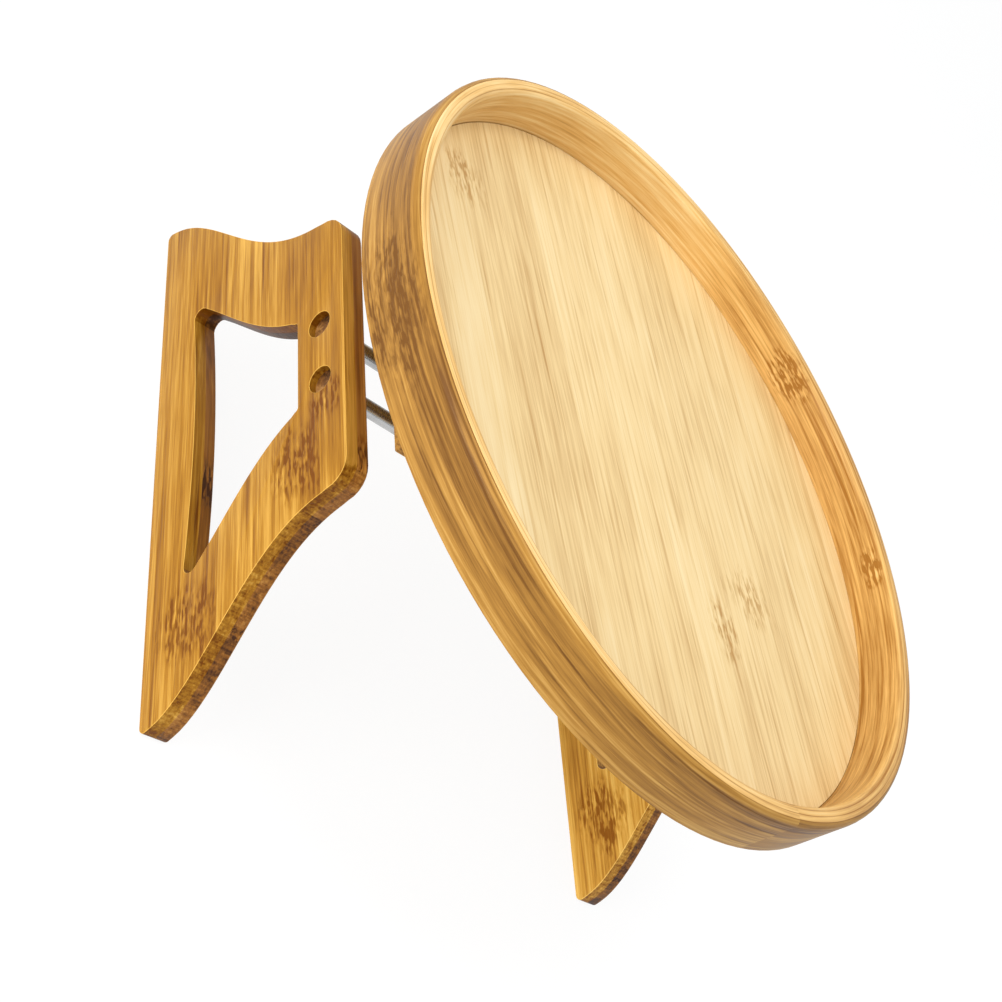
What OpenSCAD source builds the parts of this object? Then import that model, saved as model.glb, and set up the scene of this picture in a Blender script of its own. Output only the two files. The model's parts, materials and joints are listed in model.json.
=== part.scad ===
// Sofa arm tray: a round bamboo tray on two flared leg plates that slide in and out under it.
// The leg plates stand over a sofa arm, or on a table, and the tray rides on a guide block between them.
// Origin: the middle of the tray, on the surface that the leg plates stand on. X is the way the plates slide.

/* [Tray] */
// Outside diameter of the tray
tray_dia = 300; // [260:1:360]
// Height of the tray's rim
rim_h = 24; // [18:0.5:40]
// Thickness of one bent ply of the rim
ply_t = 2; // [1.5:0.1:3]
// Radius of the rim's rounded top edges
rim_round = 3; // [1:0.1:3.6]
// Thickness of the tray's floor board
floor_t = 4.5; // [3.5:0.1:8]
// Thickness of the floor's tongue, which lies under the innermost ply
tongue_t = 2.5; // [1.5:0.1:3]

/* [Leg plates] */
// Height of a leg plate
leg_h = 96; // [85:1:125]
// Width of a leg plate at its foot
foot_w = 221; // [180:1:250]
// Width of a leg plate at its top
top_w = 115; // [100:1:130]
// Thickness of the outer ply of a leg plate
outer_ply_t = 5; // [4.5:0.1:8]
// Thickness of the inner ply of a leg plate
inner_ply_t = 5; // [4.5:0.1:8]
// Radius of the corners at the foot
foot_round = 2.5; // [2:0.5:8]
// Radius of the corners at the top
top_round = 9; // [4:0.5:11]
// Width of wood between the plate's side and its window, measured level
side_band = 41; // [32:0.5:44]
// Height of the window's bottom edge above the foot, at its corners
window_foot = 18.5; // [14:0.5:30]
// How far the window's bottom edge arches up in the middle
window_arch = 2.5; // [0:0.1:5]
// Depth of wood above the window
window_top_band = 22; // [20:0.5:30]
// Radius of the window's lower corners
window_round = 3.5; // [2:0.5:5]
// Radius of the window's upper corners
window_top_round = 1.5; // [1:0.5:4]

/* [Slide guide] */
// Distance between the two guide rods
rod_pitch = 24; // [21:0.5:30]
// Depth of the guide rods below the top of a leg plate
rod_drop = 11.5; // [10.5:0.5:14]
// Diameter of a guide rod
rod_dia = 6; // [5:0.1:7]
// Outside diameter of a guide tube, in which a rod slides
tube_dia = 10; // [9:0.1:11]
// Length of a guide rod
rod_len = 130; // [122:1:132]
// Length of a guide tube
tube_len = 150; // [142:1:151]
// Length of the guide block
block_len = 64; // [56:1:80]
// Width of the guide block
block_w = 60; // [56:1:80]
// Height of the guide block
block_h = 35; // [32:1:40]
// Length of a bush in the guide block
bush_len = 8; // [5:1:14]
// Wall of a bush
bush_wall = 1.5; // [1:0.1:2]
// Radial running clearance of the rods and the tubes
run_gap = 0.1; // [0.05:0.01:0.2]

/* [Base board] */
// Length of the base board under the tray
base_len = 240; // [220:1:260]
// Width of the base board
base_w = 98; // [86:1:110]
// Thickness of the base board
base_t = 17; // [12:0.5:20]
// Space between the base board and the top of a leg plate
base_gap = 11; // [2:0.5:14]

/* [Screws] */
// Thread diameter of the wood screws
screw_dia = 3.5; // [3:0.1:4]
// Head diameter of the wood screws
head_dia = 7; // [6:0.1:8]
// Height of a screw's conical head
head_h = 2.2; // [1.8:0.1:2.4]
// Length of the screws that hold the guide block
block_screw_len = 46; // [40:1:48]
// Length of the screws that hold the tray
tray_screw_len = 19.5; // [18.5:0.1:20.5]
// Length of the screws in the leg plates
leg_screw_len = 20; // [16:1:26]
// Diameter of the plugged holes in the leg plates
plug_dia = 10; // [9:0.1:12]
// Depth of a plug's face below the plate's face
plug_sink = 3; // [2:0.1:3.2]
// Thickness of a plug
plug_t = 2; // [1.5:0.1:2]

/* [Photographed pose] */
// Place of the inner face of leg plate A, left of the tray's middle
leg_a_x = 120; // [119:1:130]
// Place of the inner face of leg plate B, right of the tray's middle
leg_b_x = 98; // [97:1:110]

/* [Hidden] */

$fn = 96;
rim_steps = 180;                           // facets asked for round the tray, which turn into true circles
pale = "burlywood";
mid = "tan";
dark = "peru";
steel = "silver";
cut = 1;                                   // what a cutting tool stands proud of the face it cuts
seam = 0.3;                                // the thin dark joint between the floor and the rim
ply_count = 4;
ply_steps = 8;                             // points along the rounded top of one ply
flare_power = 1.3;                         // shapes the S-curve of a leg plate's side
flare_steps = 28;
round_steps = 6;
arch_steps = 8;
lean_step = 0.5;                           // how far above and below a point its side's lean is measured
pilot_dia = screw_dia;
hole_gap = 0.4;                            // clearance of a leg screw in its plate, over the diameter
head_gap = 0.4;                            // space between a leg screw's head and its plug
head_slack = 0.2;                          // how much smaller a head is than its countersink
head_sink = 0.3;                           // how far a tray or block screw's head lies below its face
tip_len = 2;                               // the tapered point of a screw
tip_dia = 1;
drive_len = 3.2;                           // the cross recess in a screw's head
drive_w = 0.8;
drive_deep = 1.1;
socket_over = 1;                           // room beyond a leg screw's point, in the end of its rod or tube
tube_cap = 2;                              // solid metal between that room and a tube's bore
bore_gap = 0.8;                            // clearance of the guide block's bores round the tubes
screw_inset = 9;                           // from a bush to the screws of the guide block, along X
screw_edge = 5.5;                          // from the guide block's long side to its screws
tray_screw_end = 30;                       // from the base board's end to the screws of the tray
tray_screw_side = 16;                      // from the base board's long side to the screws of the tray

tray_r = tray_dia / 2;
inner_r = tray_r - ply_count * ply_t;
leg_t = outer_ply_t + inner_ply_t;
base_z = leg_h + base_gap;                 // underside of the base board
tray_z = base_z + base_t;                  // underside of the tray
rod_z = leg_h - rod_drop;
rod_y = rod_pitch / 2;
tube_bore = rod_dia + 2 * run_gap;
bush_bore = tube_dia + 2 * run_gap;
bush_dia = bush_bore + 2 * bush_wall;
block_z = base_z - block_h;
tray_screw_x = base_len / 2 - tray_screw_end;
tray_screw_y = base_w / 2 - tray_screw_side;
block_screw_x = block_len / 2 - bush_len - screw_inset;
block_screw_y = block_w / 2 - screw_edge;
plug_seat = leg_t - plug_sink - plug_t;    // from a plate's inner face to the bottom of a plug
head_seat = plug_seat - head_gap - head_h; // from a plate's inner face to the bottom of a screw's head
socket_len = leg_screw_len - head_seat - head_h + socket_over;

// Half the plate's width at height h: a concave flare that turns convex above the foot.
function flare(u) = (1 - cos(180 * pow(u, flare_power))) / 2;
function half_w(h) = top_w / 2 + (foot_w - top_w) / 2 * flare(1 - h / leg_h);

// Points of a quarter circle of radius r about the point c, from angle a to angle b.
function arc(c, r, a, b, steps) =
    [for (i = [0 : steps]) c + r * [cos(a + (b - a) * i / steps), sin(a + (b - a) * i / steps)]];

// Right half of the plate's outline, from the foot to the top.
function plate_side() = concat(
    arc([foot_w / 2 - foot_round, foot_round], foot_round, -90, 0, round_steps),
    [for (i = [1 : flare_steps - 1])
        let (h = foot_round + (leg_h - top_round - foot_round) * i / flare_steps) [half_w(h), h]],
    arc([top_w / 2 - top_round, leg_h - top_round], top_round, 0, 90, round_steps));

// Half the window's width at height h: the plate's side, set inwards by the band of wood.
function window_w(h) = half_w(h) - side_band;
window_h = leg_h - window_top_band;

// The lower corner's round touches the bottom edge and the side. The side's lean is measured near the corner.
lean_h = window_foot + 1.6 * window_round;
window_lean = atan((window_w(lean_h - lean_step) - window_w(lean_h + lean_step)) / (2 * lean_step));
window_low = window_foot + window_round * (1 + sin(window_lean));
corner_x = window_w(window_low) - window_round * cos(window_lean);

// Right half of the window's outline, from its bottom edge to its top edge.
function window_half() = concat(
    [for (i = [0 : arch_steps - 1])
        let (u = i / arch_steps) [corner_x * u, window_foot + window_arch * (1 - pow(u, 2))]],
    arc([corner_x, window_foot + window_round], window_round, -90, window_lean, round_steps),
    [for (i = [1 : flare_steps - 1])
        let (h = window_low + (window_h - window_top_round - window_low) * i / flare_steps) [window_w(h), h]],
    arc([window_w(window_h) - window_top_round, window_h - window_top_round],
        window_top_round, 0, 90, round_steps));

function mirrored(points) = [for (i = [len(points) - 1 : -1 : 0]) [-points[i][0], points[i][1]]];

module plate_outline() {
    difference() {
        polygon(concat(plate_side(), mirrored(plate_side())));
        polygon(concat(window_half(), mirrored(window_half())));
    }
}

// A leg plate's ply from depth x0 to depth x1, measured outwards from the plate's inner face.
module leg_ply(x0, x1) {
    difference() {
        translate([x0, 0, 0]) rotate([90, 0, 90]) linear_extrude(x1 - x0) plate_outline();
        for (y = [-rod_y, rod_y])
            translate([0, y, rod_z]) rotate([0, 90, 0]) leg_hole();
    }
}

// The stepped hole of a leg screw, from the plate's inner face outwards.
module leg_hole() {
    translate([0, 0, -cut]) cylinder(d = screw_dia + hole_gap, h = leg_t + 2 * cut);
    translate([0, 0, head_seat]) cylinder(d1 = screw_dia + hole_gap, d2 = head_dia, h = head_h);
    translate([0, 0, head_seat + head_h]) cylinder(d = head_dia, h = leg_t);
    translate([0, 0, plug_seat]) cylinder(d = plug_dia, h = leg_t);
}

// A countersunk wood screw whose head's face is at z = 0 and whose point is down.
module wood_screw(length) {
    difference() {
        union() {
            translate([0, 0, -head_h]) cylinder(d1 = screw_dia, d2 = head_dia - head_slack, h = head_h);
            translate([0, 0, tip_len - length]) cylinder(d = screw_dia, h = length - tip_len);
            translate([0, 0, -length]) cylinder(d1 = tip_dia, d2 = screw_dia, h = tip_len);
        }
        for (a = [0, 90])
            rotate([0, 0, a]) translate([-drive_len / 2, -drive_w / 2, -drive_deep])
                cube([drive_len, drive_w, drive_deep + cut]);
    }
}

// The screws and plugs of a leg plate, as two separate solids each.
module leg_screw_pair() {
    for (y = [-rod_y, rod_y])
        translate([head_seat + head_h, y, rod_z]) rotate([0, 90, 0]) wood_screw(leg_screw_len);
}

module plug_pair() {
    for (y = [-rod_y, rod_y])
        translate([plug_seat, y, rod_z]) rotate([0, 90, 0]) cylinder(d = plug_dia, h = plug_t);
}

// Puts leg plate A on the left and faces its outer side left.
module on_leg_a() {
    translate([-leg_a_x, 0, 0]) rotate([0, 0, 180]) children();
}

module on_leg_b() {
    translate([leg_b_x, 0, 0]) children();
}

// Hole for the point of a leg screw, in the end of a rod or a tube that starts at x = 0.
module screw_socket() {
    translate([-cut, 0, 0]) rotate([0, 90, 0]) cylinder(d = screw_dia, h = socket_len + cut);
}

// Height of the rim's top at depth d below its nearer side face.
function rim_top(d) =
    d >= rim_round ? rim_h : rim_h - rim_round + sqrt(pow(rim_round, 2) - pow(rim_round - d, 2));
function wall_depth(r) = min(r - inner_r, tray_r - r);

// One bent ply of the rim: number i from the outside, with its underside at height bottom.
module rim_ply(i, bottom) {
    r1 = tray_r - i * ply_t;
    r0 = r1 - ply_t;
    translate([0, 0, tray_z]) rotate_extrude($fn = rim_steps) polygon(concat(
        [[r0, bottom], [r1, bottom]],
        [for (k = [0 : ply_steps]) let (r = r1 - k * ply_t / ply_steps) [r, rim_top(wall_depth(r))]]));
}

module rim_outer_ply() { color(pale) rim_ply(0, 0); }
module rim_second_ply() { color(mid) rim_ply(1, 0); }
module rim_third_ply() { color(pale) rim_ply(2, 0); }
module rim_inner_ply() { color(mid) rim_ply(3, tongue_t); }

module floor_board() {
    color(pale) difference() {
        translate([0, 0, tray_z]) union() {
            cylinder(r = inner_r + ply_t, h = tongue_t, $fn = rim_steps);
            cylinder(r = inner_r - seam, h = floor_t, $fn = rim_steps);
        }
        tray_screw_places() translate([0, 0, -tray_screw_len])
            cylinder(d = pilot_dia, h = tray_screw_len + cut);
    }
}

// The four screws that hold the base board to the floor board, driven upwards.
module tray_screw_places() {
    for (x = [-tray_screw_x, tray_screw_x], y = [-tray_screw_y, tray_screw_y])
        translate([x, y, base_z + head_sink]) mirror([0, 0, 1]) children();
}

module tray_screws() { color(steel) tray_screw_places() wood_screw(tray_screw_len); }

module countersink() {
    translate([0, 0, -head_h]) cylinder(d1 = pilot_dia, d2 = head_dia, h = head_h);
    cylinder(d = head_dia, h = cut);
}

module base_board() {
    color(mid) difference() {
        translate([-base_len / 2, -base_w / 2, base_z]) cube([base_len, base_w, base_t]);
        tray_screw_places() {
            translate([0, 0, -base_t - cut]) cylinder(d = pilot_dia, h = base_t + 2 * cut);
            countersink();
        }
        block_screw_places() translate([0, 0, -block_screw_len]) cylinder(d = pilot_dia, h = block_screw_len);
    }
}

// The four screws that hold the guide block to the base board, driven upwards.
module block_screw_places() {
    for (x = [-block_screw_x, block_screw_x], y = [-block_screw_y, block_screw_y])
        translate([x, y, block_z + head_sink]) mirror([0, 0, 1]) children();
}

module block_screws() { color(steel) block_screw_places() wood_screw(block_screw_len); }

module guide_block() {
    color(dark) difference() {
        translate([-block_len / 2, -block_w / 2, block_z]) cube([block_len, block_w, block_h]);
        for (y = [-rod_y, rod_y]) translate([0, y, rod_z]) rotate([0, 90, 0]) {
            cylinder(d = bush_bore + bore_gap, h = block_len + 2 * cut, center = true);
            for (s = [-1, 1]) translate([0, 0, s * (block_len - bush_len + cut) / 2])
                cylinder(d = bush_dia, h = bush_len + cut, center = true);
        }
        block_screw_places() {
            translate([0, 0, -block_h - cut]) cylinder(d = pilot_dia, h = block_h + 2 * cut);
            countersink();
        }
    }
}

module guide_bushes() {
    color("ivory") for (y = [-rod_y, rod_y], s = [-1, 1])
        translate([s * (block_len - bush_len) / 2, y, rod_z]) rotate([0, 90, 0]) difference() {
            cylinder(d = bush_dia, h = bush_len, center = true);
            cylinder(d = bush_bore, h = bush_len + 2 * cut, center = true);
        }
}

module guide_rods() {
    color(steel) for (y = [-rod_y, rod_y]) translate([-leg_a_x, y, rod_z]) difference() {
        rotate([0, 90, 0]) cylinder(d = rod_dia, h = rod_len);
        screw_socket();
    }
}

module guide_tubes() {
    color(steel) for (y = [-rod_y, rod_y]) translate([leg_b_x, y, rod_z]) mirror([1, 0, 0]) difference() {
        rotate([0, 90, 0]) cylinder(d = tube_dia, h = tube_len);
        translate([socket_len + tube_cap, 0, 0]) rotate([0, 90, 0]) cylinder(d = tube_bore, h = tube_len);
        screw_socket();
    }
}

// Both plates show their pale ply on the left, as photographed: plate A's outer ply and plate B's inner one.
module leg_a_outer_ply() { color(pale) on_leg_a() leg_ply(inner_ply_t, leg_t); }
module leg_a_inner_ply() { color(dark) on_leg_a() leg_ply(0, inner_ply_t); }
module leg_a_screws() { color(steel) on_leg_a() leg_screw_pair(); }
module leg_a_plugs() { color(mid) on_leg_a() plug_pair(); }
module leg_b_outer_ply() { color(dark) on_leg_b() leg_ply(inner_ply_t, leg_t); }
module leg_b_inner_ply() { color(pale) on_leg_b() leg_ply(0, inner_ply_t); }
module leg_b_screws() { color(steel) on_leg_b() leg_screw_pair(); }
module leg_b_plugs() { color(mid) on_leg_b() plug_pair(); }

rim_outer_ply();
rim_second_ply();
rim_third_ply();
rim_inner_ply();
floor_board();
base_board();
tray_screws();
guide_block();
block_screws();
guide_bushes();
leg_a_outer_ply();
leg_a_inner_ply();
guide_rods();
leg_a_screws();
leg_a_plugs();
leg_b_outer_ply();
leg_b_inner_ply();
guide_tubes();
leg_b_screws();
leg_b_plugs();
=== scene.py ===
# %% [markdown]
# # A sofa arm tray in bamboo
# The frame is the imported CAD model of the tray: a round, bent rim on a floor board, a board and a guide block
# under it, and two leg plates that slide. This lesson gives each piece its bamboo, rounds the edges that a
# maker would sand, and lights the tray as in the studio picture. All lengths are in metres.

# %% Load the frame
import json
import math

import bmesh
import bpy
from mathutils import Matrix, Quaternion, Vector


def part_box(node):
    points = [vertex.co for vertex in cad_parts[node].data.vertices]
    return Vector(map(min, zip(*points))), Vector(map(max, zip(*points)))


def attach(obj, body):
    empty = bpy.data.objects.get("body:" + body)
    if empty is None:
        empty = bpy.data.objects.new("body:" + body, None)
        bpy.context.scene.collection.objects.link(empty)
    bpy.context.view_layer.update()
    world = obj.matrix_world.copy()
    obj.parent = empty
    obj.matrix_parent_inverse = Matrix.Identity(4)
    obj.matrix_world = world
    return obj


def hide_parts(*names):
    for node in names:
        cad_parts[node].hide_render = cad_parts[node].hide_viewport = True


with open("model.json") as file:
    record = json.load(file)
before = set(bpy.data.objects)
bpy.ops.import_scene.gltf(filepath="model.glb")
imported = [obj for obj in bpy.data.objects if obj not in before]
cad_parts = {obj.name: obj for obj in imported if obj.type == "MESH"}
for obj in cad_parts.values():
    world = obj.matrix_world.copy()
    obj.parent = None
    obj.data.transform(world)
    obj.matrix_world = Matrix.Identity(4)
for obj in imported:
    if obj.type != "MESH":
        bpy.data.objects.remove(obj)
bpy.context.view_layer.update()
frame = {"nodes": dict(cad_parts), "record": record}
nodes = frame["nodes"]
record = frame["record"]
scene = bpy.context.scene
MM = 0.001

# %% [markdown]
# Every place below comes from the frame's own boxes: the radius of the rim and the thickness of its plies, the
# tops of the rim and of the leg plates, and the places of the plugs. Nothing is measured twice, so the looks
# follow the part.

# %% Read the sizes from the frame
def corners(name):
    low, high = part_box(name)
    return Vector(low), Vector(high)


rim_low, rim_high = corners("rim_outer_ply")
second_high = corners("rim_second_ply")[1]
inner_high = corners("rim_inner_ply")[1]
plug_low, plug_high = corners("leg_a_plugs")

RIM_R = (rim_high.x - rim_low.x) / 2
PLY = rim_high.x - second_high.x
RIM_TOP = max(rim_high.z, inner_high.z, second_high.z)
LEG_TOP = corners("leg_a_outer_ply")[1].z
PLUG_R = (plug_high.z - plug_low.z) / 2
PLUG_Y = plug_high.y - PLUG_R
PLUG_Z = plug_high.z - PLUG_R
print(f"tray {2 * RIM_R:.3f} across, top at {RIM_TOP:.3f}, plies {PLY:.4f}")
print(f"leg plates {LEG_TOP:.3f} high, plugs at y {PLUG_Y:.4f} and z {PLUG_Z:.4f}")

# %% [markdown]
# ## Shader maths
# A shader is a graph of nodes, but a formula reads better. `Wire` wraps one output socket, and its operators
# add Math nodes, so `1 - mask * 0.5` works. `Sheet` holds the node tree of one material, and its `add` makes
# any other node: the settings are written first, and then the sockets.

# %% A socket with arithmetic
class Wire:
    def __init__(self, sheet, socket):
        self.sheet = sheet
        self.socket = socket

    def math(self, operation, *values):
        return self.sheet.add("ShaderNodeMath", {"operation": operation}, dict(enumerate(values)))

    def __add__(self, other):
        return self.math("ADD", self, other)

    def __radd__(self, other):
        return self.math("ADD", other, self)

    def __sub__(self, other):
        return self.math("SUBTRACT", self, other)

    def __rsub__(self, other):
        return self.math("SUBTRACT", other, self)

    def __mul__(self, other):
        return self.math("MULTIPLY", self, other)

    def __rmul__(self, other):
        return self.math("MULTIPLY", other, self)

    def __truediv__(self, other):
        return self.math("DIVIDE", self, other)

    def __pow__(self, other):
        return self.math("POWER", self, other)

    def floor(self):
        return self.math("FLOOR", self)

    def fract(self):
        return self.math("FRACT", self)

    def size(self):
        return self.math("ABSOLUTE", self)

    def sign(self):
        return self.math("SIGN", self)

    def atan2(self, other):
        return self.math("ARCTAN2", self, other)

    def root(self):
        return self.math("SQRT", self)

    def most(self, other):
        return self.math("MAXIMUM", self, other)

    def ramp(self, low, high, out_low=0.0, out_high=1.0):
        """A smooth step from out_low to out_high as the value goes from low to high."""
        settings = {"interpolation_type": "SMOOTHSTEP", "clamp": True}
        values = {"Value": self, "From Min": low, "From Max": high, "To Min": out_low, "To Max": out_high}
        return self.sheet.add("ShaderNodeMapRange", settings, values)


class Sheet:
    def __init__(self, name):
        self.material = bpy.data.materials.new(name)
        self.material.use_nodes = True
        self.tree = self.material.node_tree
        self.tree.nodes.clear()

    def add(self, kind, settings=None, sockets=None, out=0):
        node = self.tree.nodes.new(kind)
        for key, value in (settings or {}).items():
            if key == "stops":
                self.set_stops(node.color_ramp, value)
            else:
                setattr(node, key, value)
        for key, value in (sockets or {}).items():
            if isinstance(value, Wire):
                self.tree.links.new(value.socket, node.inputs[key])
            else:
                node.inputs[key].default_value = value
        return Wire(self, node.outputs[out])

    def set_stops(self, band, stops):
        while len(band.elements) < len(stops):
            band.elements.new(1.0)
        for element, (place, tone) in zip(band.elements, stops):
            element.position = place
            element.color = tone

    def split(self, output):
        """The three parts of one output of the Texture Coordinate node, as wires."""
        whole = self.add("ShaderNodeTexCoord", out=output)
        parts = self.add("ShaderNodeSeparateXYZ", None, {0: whole})
        return [Wire(self, part) for part in parts.socket.node.outputs]

    def place(self):
        """The point that is shaded, in the frame's own metres."""
        return self.split("Object")

    def facing(self):
        """The direction that the surface faces, in the frame's own axes."""
        return self.split("Normal")

    def point(self, x, y, z):
        return self.add("ShaderNodeCombineXYZ", None, {0: x, 1: y, 2: z})

    def noise(self, point, scale=1.0, detail=2.0, rough=0.5):
        values = {"Vector": point, "Scale": scale, "Detail": detail, "Roughness": rough}
        return self.add("ShaderNodeTexNoise", None, values, "Fac")

    def dice(self, point):
        """One fixed random value for each point."""
        return self.add("ShaderNodeTexWhiteNoise", {"noise_dimensions": "3D"}, {"Vector": point}, "Value")

    def mix(self, amount, first, second):
        settings = {"data_type": "RGBA", "clamp_factor": True}
        return self.add("ShaderNodeMix", settings, {0: amount, 6: first, 7: second}, 2)

    def bump(self, strength, distance, height):
        values = {"Strength": strength, "Distance": distance, "Height": height}
        return self.add("ShaderNodeBump", None, values, "Normal")

    def finish(self, values):
        """Ends the sheet in a Principled shader with these values."""
        return self.close(self.add("ShaderNodeBsdfPrincipled", None, values))

    def close(self, surface):
        output = self.tree.nodes.new("ShaderNodeOutputMaterial")
        self.tree.links.new(surface.socket, output.inputs["Surface"])
        return self.material


def colour(red, green, blue):
    """A colour as a picture shows it, from 0 to 255, in the linear light that shaders use."""
    def linear(value):
        share = value / 255
        return share / 12.92 if share <= 0.04045 else ((share + 0.055) / 1.055) ** 2.4
    return (linear(red), linear(green), linear(blue), 1.0)


def darker(tone, share):
    return tuple(value * share for value in tone[:3]) + (1.0,)


print("shader helpers ready")

# %% [markdown]
# ## Bamboo
# Bamboo board is glued from strips of split cane. Each strip has its own tone, fine fibres run along it, and
# where the cane had a joint a short band of dark dashes crosses it. So one recipe serves every board: it needs
# to know the way along the fibres, the way across the strips and the depth, and it varies the rest.
# The fibres are noise that is stretched along the cane. The joints are patches or bands that are broken up by
# a second, shorter noise. What is dark adds to or takes from one value, the tone, which a colour ramp turns
# into wood at the end.

# %% The bamboo recipe
# Waves of noise in a metre, along the fibres and across them.
FINE = (30, 950)
BROAD = (7, 290)
CLOUD = (14, 40)
HAIR = (16, 520)
DASH = (200, 760)
LAYER = 6 * MM                                # how deep one strip of cane is
HAIR_START = 40                               # keeps the hair lines apart from the other noises
GROOVE = 0.25                                 # how dark the joint between two strips is


def bamboo(name, grain, tones, strip=0.018, strip_vary=0.4, joint_gap=0.0, knots=(), knot_dark=0.5,
           fibre=1.0, lines=0.12, gloss=0.45, shine=0.25, bump=0.25, extra=None):
    """tones: dark, middle and pale colour. grain: a function from a sheet to (along, across, deep) wires.
    knots: single joints as (along, across, half length, half width). extra: one more darkening, as a
    function."""
    sheet = Sheet(name)
    along, across, deep = grain(sheet)
    wander = sheet.noise(sheet.point(along * 3, across * 9, deep * 9), 1.0, 1.0) * 0.004
    drift = across + wander
    row = (drift / strip).floor()
    layer = (deep / LAYER).floor()
    luck = sheet.dice(sheet.point(row, layer, 3.7))
    luck_too = sheet.dice(sheet.point(row, layer, 11.3))

    def stretched(waves, start, sideways, detail, rough=0.5):
        long, short = waves
        point = sheet.point(along * long + start, sideways * short, deep * short)
        return sheet.noise(point, 1.0, detail, rough)

    fine = stretched(FINE, 0.0, drift, 3.0, 0.6)
    broad = stretched(BROAD, luck * 9, drift, 3.0, 0.6)
    cloud = stretched(CLOUD, 0.0, across, 3.0, 0.55)
    hair = stretched(HAIR, HAIR_START, drift, 1.0).ramp(0.56, 0.68)
    tone = 0.5 + (luck - 0.5) * strip_vary + (broad - 0.5) * 0.9 * fibre + (fine - 0.5) * fibre
    tone = tone + (cloud - 0.5) * 0.55 - hair * lines
    height = fine * 0.6 + broad * 0.4 - hair * 0.5
    rough = gloss + (fine - 0.5) * 0.20

    bands = []
    if joint_gap:
        step = (along / joint_gap + luck_too).fract()
        narrow = ((step - 0.5).size() * joint_gap).ramp(0.004, 0.012, 1.0, 0.0)
        bands.append(narrow * luck.ramp(0.30, 0.34))
    for at_along, at_across, half_long, half_wide in knots:
        far = (((along - at_along) / half_long) ** 2 + ((across - at_across) / half_wide) ** 2).root()
        bands.append((far + (cloud - 0.5) * 1.6 + (broad - 0.5) * 1.2).ramp(0.45, 1.25, 1.0, 0.0))
    if bands:
        band = bands[0]
        for other in bands[1:]:
            band = band.most(other)
        dash = stretched(DASH, 0.0, drift, 1.5)
        speck = band * dash.ramp(0.48, 0.58)
        glint = band * dash.ramp(0.34, 0.46, 1.0, 0.0)
        tone = tone - band * 0.10 - speck * knot_dark + glint * knot_dark * 0.6
        rough = rough + speck * 0.15
        height = height - speck * 0.8
    if extra:
        tone = tone - extra(sheet)

    stops = list(zip((0.0, 0.5, 1.0), tones))
    wood = sheet.add("ShaderNodeValToRGB", {"stops": stops}, {"Fac": tone}, "Color")
    line = (((drift / strip).fract() - 0.5).size()).ramp(0.482, 0.5)
    wood = sheet.mix(line * GROOVE, wood, tones[0])
    normal = sheet.bump(bump, 0.6 * MM, height - line * 0.3)
    return sheet.finish({"Base Color": wood, "Roughness": rough, "Normal": normal,
                         "Specular IOR Level": shine, "Coat Weight": 0.05, "Coat Roughness": 0.3})


print("one recipe for", LAYER / MM, "mm thick strips of cane")

# %% [markdown]
# The plates' fibres run along their feet, and the board's run along the slide. On the rim they follow the
# bend, so the way along is an angle times the radius. It starts and ends where the ends of the bent plies
# meet, and the grain may break there.

# %% Which way the fibres run
def along_y(sheet):
    x, y, z = sheet.place()
    return y, z, x


def along_x(sheet):
    return sheet.place()


RIM_JOINT = math.radians(-81)                 # where the ends of the rim's bent plies meet
RIM_BACK = RIM_JOINT + math.pi


def around_rim(sheet):
    x, y, z = sheet.place()
    ahead = x * math.cos(RIM_BACK) + y * math.sin(RIM_BACK)
    aside = y * math.cos(RIM_BACK) - x * math.sin(RIM_BACK)
    radius = (x * x + y * y).root()
    return aside.atan2(ahead) * RIM_R, z, radius


def rim_spot(degrees, z, half_long, half_wide):
    """A joint of the cane on the rim, at an angle from +X and a height."""
    turn = math.remainder(math.radians(degrees) - RIM_BACK, 2 * math.pi)
    return (turn * RIM_R, z, half_long, half_wide)


print(f"the rim's plies meet at {math.degrees(RIM_JOINT):.0f} degrees")

# %% [markdown]
# The floor board's fibres cross the slide at a small slant, as the picture shows, so its grain is turned by
# that angle. The dark joints that show on the floor are listed, in the turned directions.

# %% The floor board's grain
FLOOR_TURN = math.radians(8.5)


def turned(x, y):
    along = y * math.cos(FLOOR_TURN) - x * math.sin(FLOOR_TURN)
    across = x * math.cos(FLOOR_TURN) + y * math.sin(FLOOR_TURN)
    return along, across


def along_floor(sheet):
    x, y, z = sheet.place()
    return (*turned(x, y), z)


print(f"floor grain turned by {math.degrees(FLOOR_TURN):.1f} degrees")

# %% [markdown]
# The rim needs one more touch. Its top shows the glue lines between the plies as fine dark rings. The inner
# and middle plies get painted shade at one side of the tray and painted light at the other, and the outer ply
# has a darker stripe just under the rounded top.

# %% Shades of the rim
# The rim's painted shade is deepest in this direction, and its painted light lies opposite.
PAINTED_SHADE_SIDE = math.radians(-20)                 # where the rim's boards are darkest
GLUE_DARK = 0.38
STRIPE_DARK = 0.22
PALE_MINUS_Y = 0.14


def glue_rings(sheet):
    x, y, z = sheet.place()
    depth = (RIM_R - (x * x + y * y).root()) / PLY
    ring = ((depth + 0.5).fract() - 0.5).size().ramp(0.0, 0.14, 1.0, 0.0)
    inside = depth.ramp(0.4, 0.6) * depth.ramp(3.4, 3.6, 1.0, 0.0)
    return ring * inside * GLUE_DARK


def glue_rings_and_painted_light(pale, dark):
    """Glue rings on a bent ply, with painted light at one side and painted shade at the other."""
    def shade(sheet):
        x, y, z = sheet.place()
        toward = (x * math.cos(PAINTED_SHADE_SIDE) + y * math.sin(PAINTED_SHADE_SIDE)) / (x * x + y * y).root()
        return glue_rings(sheet) + toward.ramp(-0.4, 0.95, -pale, dark)
    return shade


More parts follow.
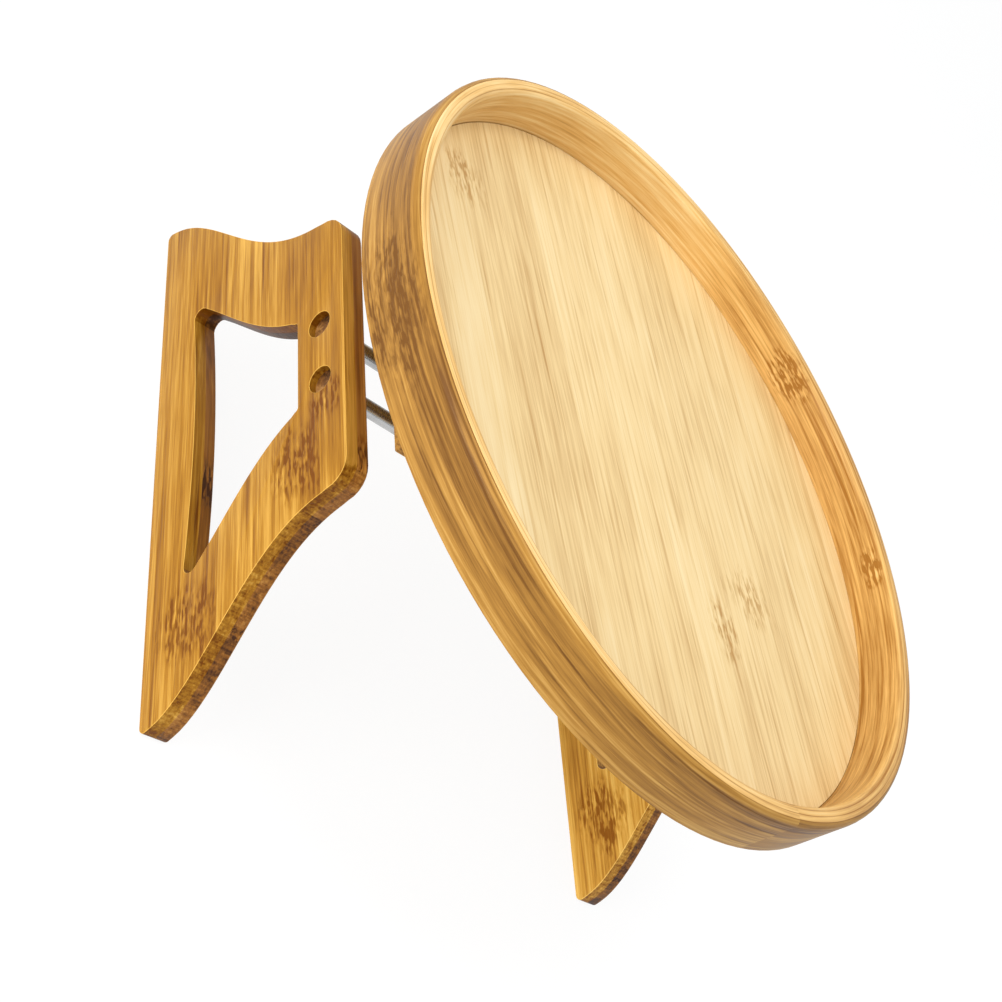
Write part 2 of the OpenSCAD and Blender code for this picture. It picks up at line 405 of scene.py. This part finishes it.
def outer_shade(sheet):
    """Glue rings, a darker stripe under the rounded top, and a paler part towards -Y."""
    x, y, z = sheet.place()
    pale = (y / (x * x + y * y).root()).ramp(-1.0, -0.45, PALE_MINUS_Y, 0.0)
    above = z.ramp(RIM_TOP - 14 * MM, RIM_TOP - 6 * MM)
    below = z.ramp(RIM_TOP - 3.5 * MM, RIM_TOP - 1 * MM, 1.0, 0.0)
    return glue_rings(sheet) + above * below * STRIPE_DARK - pale


print("rim shades: glue rings, sides and stripe")

# %% [markdown]
# The sides of a leg plate are cut across the cane, and the ends of the fibres show there as short dashes that
# run through the plate. The window's sides, the tip of the foot and the side that faces -Y get painted shade,
# the top gets painted light, and every rounded edge a painted highlight. The end of a plug gets painted shade
# towards its upper edge and painted light towards its lower edge.

# %% Grain ends, painted light and painted shade of the plates and plugs
ENDS = (130, 1100)                            # waves in a metre through the plate, and across the ends
END_DARK = 0.9
# The plates' painted light and shade: a lighter top, a darker tip, -Y side and window, a highlight on rounded
# edges.
TOP_PAINTED_LIGHT = 0.20
TIP_PAINTED_SHADE = 0.35
MINUS_Y_PAINTED_SHADE = 0.16
WINDOW_PAINTED_SHADE = 0.35
EDGE_PAINTED_HIGHLIGHT = 0.65


def end_grain_and_painted_light(sheet):
    through, across, upward = sheet.facing()
    face_on = through.size()
    side = face_on.ramp(0.35, 0.75, 1.0, 0.0)
    x, y, z = sheet.place()
    ends = sheet.noise(sheet.point(x * ENDS[0], y * ENDS[1], z * ENDS[1]), 1.0, 2.0, 0.6)
    ends = (ends - 0.5) * across.size().ramp(0.2, 0.7) * END_DARK
    # Painted light: the plate's top is lighter.
    top = upward.ramp(0.85, 0.98) * z.ramp(LEG_TOP - 12 * MM, LEG_TOP - 4 * MM) * TOP_PAINTED_LIGHT
    # Painted shade at the tip of the foot.
    tip = z.ramp(1 * MM, 10 * MM, TIP_PAINTED_SHADE, 0.0) * across.size().ramp(0.5, 0.9)
    # Painted shade on the side that faces -Y.
    painted_shade_minus_y = across.ramp(-0.8, -0.3, MINUS_Y_PAINTED_SHADE, 0.0)
    # Painted shade on the window's sides.
    window = (across * y).ramp(-12 * MM, -4 * MM, WINDOW_PAINTED_SHADE, 0.0)
    # Painted highlight along the rounded edges.
    painted_highlight_edge = face_on.ramp(0.08, 0.40) * face_on.ramp(0.95, 0.999, 1.0, 0.0)
    return side * (ends + tip + painted_shade_minus_y + window - top) - painted_highlight_edge * EDGE_PAINTED_HIGHLIGHT


def plug_painted_shade(sheet):
    x, y, z = sheet.place()
    # Painted shade of the recess: the plug's end is darker towards +y and +z and lighter towards -y and -z.
    from_middle = (y - y.sign() * PLUG_Y) + (z - PLUG_Z)
    return (from_middle / PLUG_R).ramp(-1.2, 1.2, -0.5, 0.35)


print("plate and plug shades ready")

# %% [markdown]
# Now the woods. Each has three tones, from dark to pale, and the joints of the cane that the picture shows
# are listed. The ply of plate B that shows gets paler tones than plate A's, as painted light where the tray
# shades it.

# %% Tones and joints of the cane
FLOOR_TONES = [colour(188, 144, 82), colour(234, 204, 146), colour(248, 228, 182)]
WALL_TONES = [colour(164, 110, 40), colour(228, 181, 106), colour(251, 221, 160)]
OUTER_TONES = [colour(108, 68, 20), colour(168, 121, 52), colour(214, 170, 94)]
LEG_TONES = [colour(112, 62, 4), colour(165, 114, 32), colour(214, 165, 74)]
# Plate B's tones are a paler copy of plate A's: painted light for the shade under the tray.
LEG_B_PAINTED_LIGHT_TONES = [colour(136, 80, 10), colour(202, 148, 58), colour(242, 198, 104)]
DARK_TONES = [colour(66, 34, 8), colour(140, 88, 30), colour(190, 136, 64)]
PLUG_TONES = [colour(50, 28, 10), colour(112, 72, 34), colour(170, 124, 70)]

floor_knots = [(*turned(-0.100, 0.073), 0.014, 0.010), (*turned(0.050, -0.040), 0.015, 0.015),
               (*turned(0.030, -0.062), 0.013, 0.011)]
wall_knots = [rim_spot(41, 0.139, 0.012, 0.008), rim_spot(2, 0.142, 0.010, 0.005)]
outer_knots = [rim_spot(-172, 0.134, 0.030, 0.014)]
leg_knots = [(-0.078, 0.020, 0.015, 0.013), (-0.042, 0.070, 0.016, 0.013), (-0.021, 0.087, 0.008, 0.007)]
print("joints set by hand:", len(floor_knots + wall_knots + outer_knots + leg_knots))

# %% [markdown]
# The plates and their backs share a strip width, and so do the plies of the rim.

# %% The bamboo materials
LEG_STRIP = 19.5 * MM
RIM_STRIP = 40 * MM

floor_wood = bamboo("floor_bamboo", along_floor, FLOOR_TONES, strip=0.022, strip_vary=0.16,
                    knots=floor_knots, knot_dark=0.30, fibre=0.7, lines=0.17, gloss=0.42, bump=0.15)
# The inner and middle plies carry painted light and shade that change round the tray.
wall_wood = bamboo("rim_inside_bamboo", around_rim, WALL_TONES, strip=0.030, strip_vary=0.2,
                   knots=wall_knots, fibre=1.1, extra=glue_rings_and_painted_light(0.22, 0.16))
outer_wood = bamboo("rim_outside_bamboo", around_rim, OUTER_TONES, strip=RIM_STRIP, strip_vary=0.2,
                    knots=outer_knots, knot_dark=0.20, fibre=1.15, lines=0.25, shine=0.15,
                    extra=outer_shade)
edge_wood = bamboo("rim_ply_bamboo", around_rim, WALL_TONES, strip=RIM_STRIP, strip_vary=0.2,
                   extra=glue_rings_and_painted_light(0.16, 0.10))
leg_look = {"strip": LEG_STRIP, "strip_vary": 0.3, "knots": leg_knots, "knot_dark": 0.34, "fibre": 1.1,
            "lines": 0.22, "shine": 0.12, "bump": 0.3, "extra": end_grain_and_painted_light}
leg_wood = bamboo("leg_bamboo", along_y, LEG_TONES, **leg_look)
leg_b_painted_light_wood = bamboo("leg_b_painted_light_bamboo", along_y, LEG_B_PAINTED_LIGHT_TONES, **leg_look)
back_wood = bamboo("leg_back_bamboo", along_y, DARK_TONES, strip=LEG_STRIP, joint_gap=0.16, bump=0.3,
                   extra=end_grain_and_painted_light)
board_wood = bamboo("board_bamboo", along_x, OUTER_TONES, strip=0.020, joint_gap=0.23)
plug_wood = bamboo("plug_bamboo", along_x, PLUG_TONES, strip=0.005, fibre=1.2, extra=plug_painted_shade)
print("bamboo materials:", len([m for m in bpy.data.materials if "bamboo" in m.name]))

# %% [markdown]
# ## Steel and nylon
# The rods and tubes of the guide are ground steel: their roughness is stretched round the bar as fine turning
# marks. The screws are zinc plated and a little duller. The bushes are ivory nylon with a soft mottle.

# %% Metal and nylon
def ground_steel(name, tone, gloss):
    sheet = Sheet(name)
    x, y, z = sheet.place()
    marks = sheet.noise(sheet.point(x * 2600, y * 60, z * 60), 1.0, 3.0, 0.6)
    stain = sheet.noise(sheet.point(x, y, z), 90.0, 3.0)
    grey = sheet.mix(stain.ramp(0.35, 0.75), tone, darker(tone, 0.72))
    return sheet.finish({"Base Color": grey, "Metallic": 1.0, "Roughness": gloss + (marks - 0.5) * 0.25,
                         "Normal": sheet.bump(0.08, 0.2 * MM, marks)})


def nylon(name, tone):
    sheet = Sheet(name)
    mottle = sheet.noise(sheet.point(*sheet.place()), 400.0, 3.0)
    cream = sheet.mix(mottle, tone, darker(tone, 0.86))
    return sheet.finish({"Base Color": cream, "Roughness": 0.45 + (mottle - 0.5) * 0.2})


rod_steel = ground_steel("rod_steel", colour(196, 196, 196), gloss=0.25)
screw_steel = ground_steel("screw_steel", colour(176, 172, 164), gloss=0.38)
bush_nylon = nylon("bush_nylon", colour(228, 222, 204))
print("materials:", len(bpy.data.materials))

# %% [markdown]
# Each CAD node takes one of these materials. The ply of a plate that shows is the pale one: the outer ply of
# plate A and the inner ply of plate B.

# %% Dress the CAD nodes
def dress(material, *names):
    for name in names:
        piece = nodes[name]
        piece.data.materials.clear()
        piece.data.materials.append(material)


dress(outer_wood, "rim_outer_ply")
dress(edge_wood, "rim_second_ply", "rim_third_ply")
dress(wall_wood, "rim_inner_ply")
dress(floor_wood, "floor_board")
dress(board_wood, "base_board", "guide_block")
dress(leg_wood, "leg_a_outer_ply")
dress(leg_b_painted_light_wood, "leg_b_inner_ply")
dress(back_wood, "leg_a_inner_ply", "leg_b_outer_ply")
dress(plug_wood, "leg_a_plugs", "leg_b_plugs")
dress(rod_steel, "guide_rods", "guide_tubes")
dress(screw_steel, "tray_screws", "block_screws", "leg_a_screws", "leg_b_screws")
dress(bush_nylon, "guide_bushes")
print("dressed", len(nodes), "nodes")

# %% [markdown]
# ## Sanded edges
# A router leaves a leg plate with sharp edges, and the maker eases them. The CAD solid is cut square, so each
# plate's ply gets a rounded stand-in made from its own outline: the triangles are merged back into whole
# faces, and a bevel rounds the edges that the caller picks.

# %% A rounded stand-in for a flat piece
WELD = 0.01 * MM                              # points nearer than this are one
FLAT = math.radians(0.6)                      # faces that differ by less than this are one
SHARP = math.radians(50)                      # an edge that turns by more than this gets rounded
SMOOTH = math.radians(32)                     # an edge that turns by less than this is shaded smooth
BEVEL_STEPS = 3


def eased(name, width, keep_edge):
    """A copy of a CAD node with its sharp edges rounded, where keep_edge says yes to both ends of the edge."""
    source = nodes[name]
    mesh = bpy.data.meshes.new(name + "_eased")
    work = bmesh.new()
    work.from_mesh(source.data)
    bmesh.ops.remove_doubles(work, verts=work.verts, dist=WELD)
    bmesh.ops.dissolve_limit(work, angle_limit=FLAT, verts=work.verts, edges=work.edges)
    sharp = [edge for edge in work.edges
             if len(edge.link_faces) == 2 and edge.calc_face_angle() > SHARP
             and all(keep_edge(vert.co) for vert in edge.verts)]
    bmesh.ops.bevel(work, geom=sharp, offset=width, segments=BEVEL_STEPS, profile=0.5, affect="EDGES",
                    clamp_overlap=True, harden_normals=False)
    work.to_mesh(mesh)
    work.free()
    for face in mesh.polygons:
        face.use_smooth = True
    piece = bpy.data.objects.new(name + "_eased", mesh)
    scene.collection.objects.link(piece)
    mesh.set_sharp_from_angle(angle=SMOOTH)
    mesh.materials.append(source.data.materials[0])
    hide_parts(name)
    print(f"{piece.name}: {len(sharp)} edges eased, {len(mesh.polygons)} faces")
    return piece


def body_of(name):
    return next(body for body, names in record["behaviour"]["bodies"].items() if name in names)


# %% [markdown]
# Only the outside face of each ply is eased. The glued face stays square, so that the two plies meet in a
# tight line. The board and the guide block are broken a little along their outlines, and their screw holes
# keep their edges. Each stand-in rides on the body of its node and takes the finish of its node.

# %% Ease the leg plates and the boards
EASE = 1.6 * MM
BOARD_EASE = 0.8 * MM
TINY = 0.02 * MM


def on_face(face_x):
    """Says whether a corner lies on the plane at face_x."""
    return lambda co: abs(co.x - face_x) < TINY


def on_outline(low, high):
    """Says whether a corner lies on two faces of the box."""
    def on_plane(co, i):
        return min(abs(co[i] - low[i]), abs(co[i] - high[i])) < TINY
    return lambda co: sum(on_plane(co, i) for i in range(3)) >= 2


for leg in ("leg_a", "leg_b"):
    for ply in ("outer_ply", "inner_ply"):
        name = f"{leg}_{ply}"
        low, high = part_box(name)
        outside_high = (leg == "leg_b") == (ply == "outer_ply")
        piece = eased(name, EASE, on_face(high[0] if outside_high else low[0]))
        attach(piece, body_of(name))

for name in ("base_board", "guide_block"):
    piece = eased(name, BOARD_EASE, on_outline(*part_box(name)))
    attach(piece, body_of(name))

# %% [markdown]
# ## The studio
# The camera hangs above the left leg plate, rolled by about sixty degrees, as in the picture. Its lens is a
# compromise, because the picture was put together from two views, so no camera fits all of it.

# %% The camera
IMAGE = 1002                                  # width of the picture in pixels
FOCAL_PIXELS = 1617.8
SENSOR = 36.0                                 # in millimetres, as Blender counts it
CAMERA_AT = Vector((-0.4231, -0.3539, 0.3814))
CAMERA_AIM = Vector((-0.0972, -0.0686, 0.130))
CAMERA_ROLL = math.radians(61.16)
lens = bpy.data.cameras.new("studio_camera")
lens.sensor_width = SENSOR
lens.lens = SENSOR * FOCAL_PIXELS / IMAGE
lens.clip_end = 50.0
camera = bpy.data.objects.new("studio_camera", lens)
scene.collection.objects.link(camera)
gaze = (CAMERA_AIM - CAMERA_AT).to_track_quat("-Z", "Y")
camera.rotation_mode = "QUATERNION"
camera.rotation_quaternion = gaze @ Quaternion((0, 0, 1), CAMERA_ROLL)
camera.location = CAMERA_AT
scene.camera = camera
print(f"lens {lens.lens:.1f} mm")

# %% [markdown]
# The picture has a plain white ground. The studio floor is white paper that the camera sees mostly as plain
# white, so that it keeps a faint shadow. Mirrored and refracted rays see it the same way.

# %% The floor and the sky
FLOOR_SPAN = 6.0
PAPER = (0.80, 0.80, 0.80, 1)
WHITE = (1, 1, 1, 1)
WHITE_GLOW = 1.06
WHITE_SHARE = 0.86
SKY_TINT = (0.965, 0.985, 1.0, 1)
SKY_STRENGTH = 0.68


def studio_floor():
    mesh = bpy.data.meshes.new("studio_floor")
    points = [(x * FLOOR_SPAN, y * FLOOR_SPAN, 0) for x, y in ((-1, -1), (1, -1), (1, 1), (-1, 1))]
    mesh.from_pydata(points, [], [(0, 1, 2, 3)])
    floor = bpy.data.objects.new("studio_floor", mesh)
    scene.collection.objects.link(floor)
    sheet = Sheet("studio_white")
    paper = sheet.add("ShaderNodeBsdfDiffuse", None, {"Color": PAPER})
    white = sheet.add("ShaderNodeEmission", None, {"Color": WHITE, "Strength": WHITE_GLOW})
    seen, mirrored, through = [sheet.add("ShaderNodeLightPath", out=f"Is {ray} Ray")
                               for ray in ("Camera", "Glossy", "Transmission")]
    share = seen.most(mirrored).most(through) * WHITE_SHARE
    mesh.materials.append(sheet.close(sheet.add("ShaderNodeMixShader", None, {0: share, 1: paper, 2: white})))
    return floor


def studio_world():
    """A faint blue light from all sides, in front of a white ground that only the camera sees."""
    world = bpy.data.worlds.new("studio_world")
    world.use_nodes = True
    tree = world.node_tree
    tree.nodes.clear()
    path, ambient, ground, mix, output = [tree.nodes.new("ShaderNode" + kind) for kind in (
        "LightPath", "Background", "Background", "MixShader", "OutputWorld")]
    ambient.inputs["Color"].default_value = SKY_TINT
    ambient.inputs["Strength"].default_value = SKY_STRENGTH
    ground.inputs["Color"].default_value = WHITE
    tree.links.new(path.outputs["Is Camera Ray"], mix.inputs[0])
    tree.links.new(ambient.outputs[0], mix.inputs[1])
    tree.links.new(ground.outputs[0], mix.inputs[2])
    tree.links.new(mix.outputs[0], output.inputs[0])
    scene.world = world


studio_floor()
studio_world()
print("white floor and sky")

# %% [markdown]
# Three round lamps light the tray. The one overhead makes the tray's floor the brightest face, the one at the
# side lights the left plate, and the low one reaches the right plate under the tray.

# %% The lamps
TRAY_MIDDLE = (0, 0, 0.10)


def softbox(name, place, aim, size, watts):
    light = bpy.data.lights.new(name, "AREA")
    light.shape = "DISK"
    light.size = size
    light.energy = watts
    lamp = bpy.data.objects.new(name, light)
    lamp.location = place
    lamp.rotation_euler = (Vector(aim) - Vector(place)).to_track_quat("-Z", "Y").to_euler()
    scene.collection.objects.link(lamp)
    print(f"{name}: {watts} W, {size} m wide")


softbox("overhead_light", (-0.30, 0.10, 1.55), TRAY_MIDDLE, size=0.9, watts=9.3)
softbox("side_light", (-1.3, -0.1, 0.8), TRAY_MIDDLE, size=0.8, watts=4)
softbox("low_light", (-1.25, -0.45, 0.30), (0.05, 0, 0.04), size=0.7, watts=11)
scene.view_settings.view_transform = "Standard"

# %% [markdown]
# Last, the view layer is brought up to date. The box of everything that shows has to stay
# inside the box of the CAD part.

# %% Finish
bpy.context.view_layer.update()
